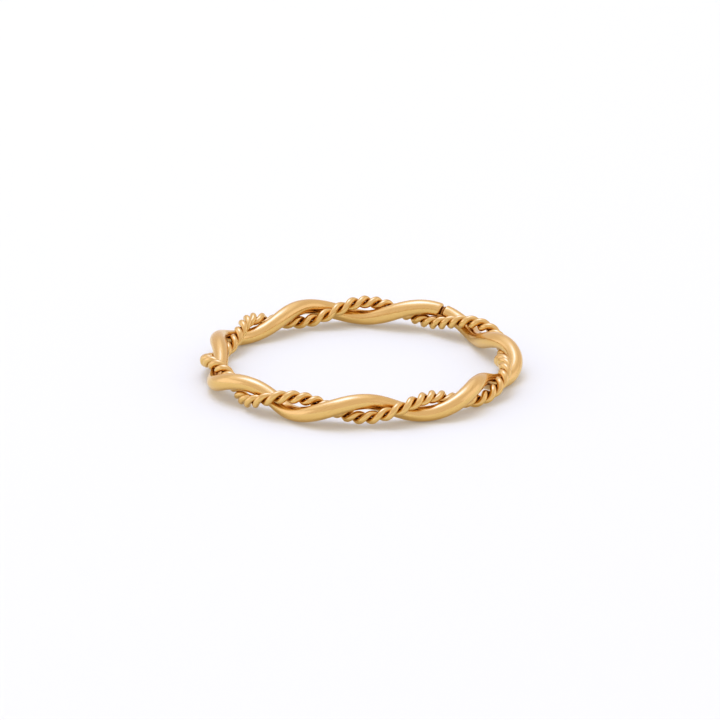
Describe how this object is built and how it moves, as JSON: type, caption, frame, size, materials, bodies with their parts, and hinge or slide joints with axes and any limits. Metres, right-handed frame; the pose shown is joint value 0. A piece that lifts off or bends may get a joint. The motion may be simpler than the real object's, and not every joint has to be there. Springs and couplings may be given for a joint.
{
  "type": "rope twist ring",
  "caption": "Thin gold finger ring of a smooth wire and a fine twisted-wire rope wound round each other, lying on its side.",
  "frame": {"origin": "the middle of the ring, on the surface that the ring lies on", "axes": "+Z along the finger's axis and up, -Y towards the side that the picture was taken from, the seam at the back right"},
  "size_m": [0.0211, 0.021, 0.0021],
  "materials": {
    "satin_gold": "softly polished yellow gold with faint hairline scratches",
    "rope_gold": "softly polished yellow gold, darker in the grooves between the fine wires"
  },
  "bodies": {
    "root": {"smooth_wire": "satin_gold", "rope_wire_1": "rope_gold", "rope_wire_2": "rope_gold"}
  },
  "joints": []
}
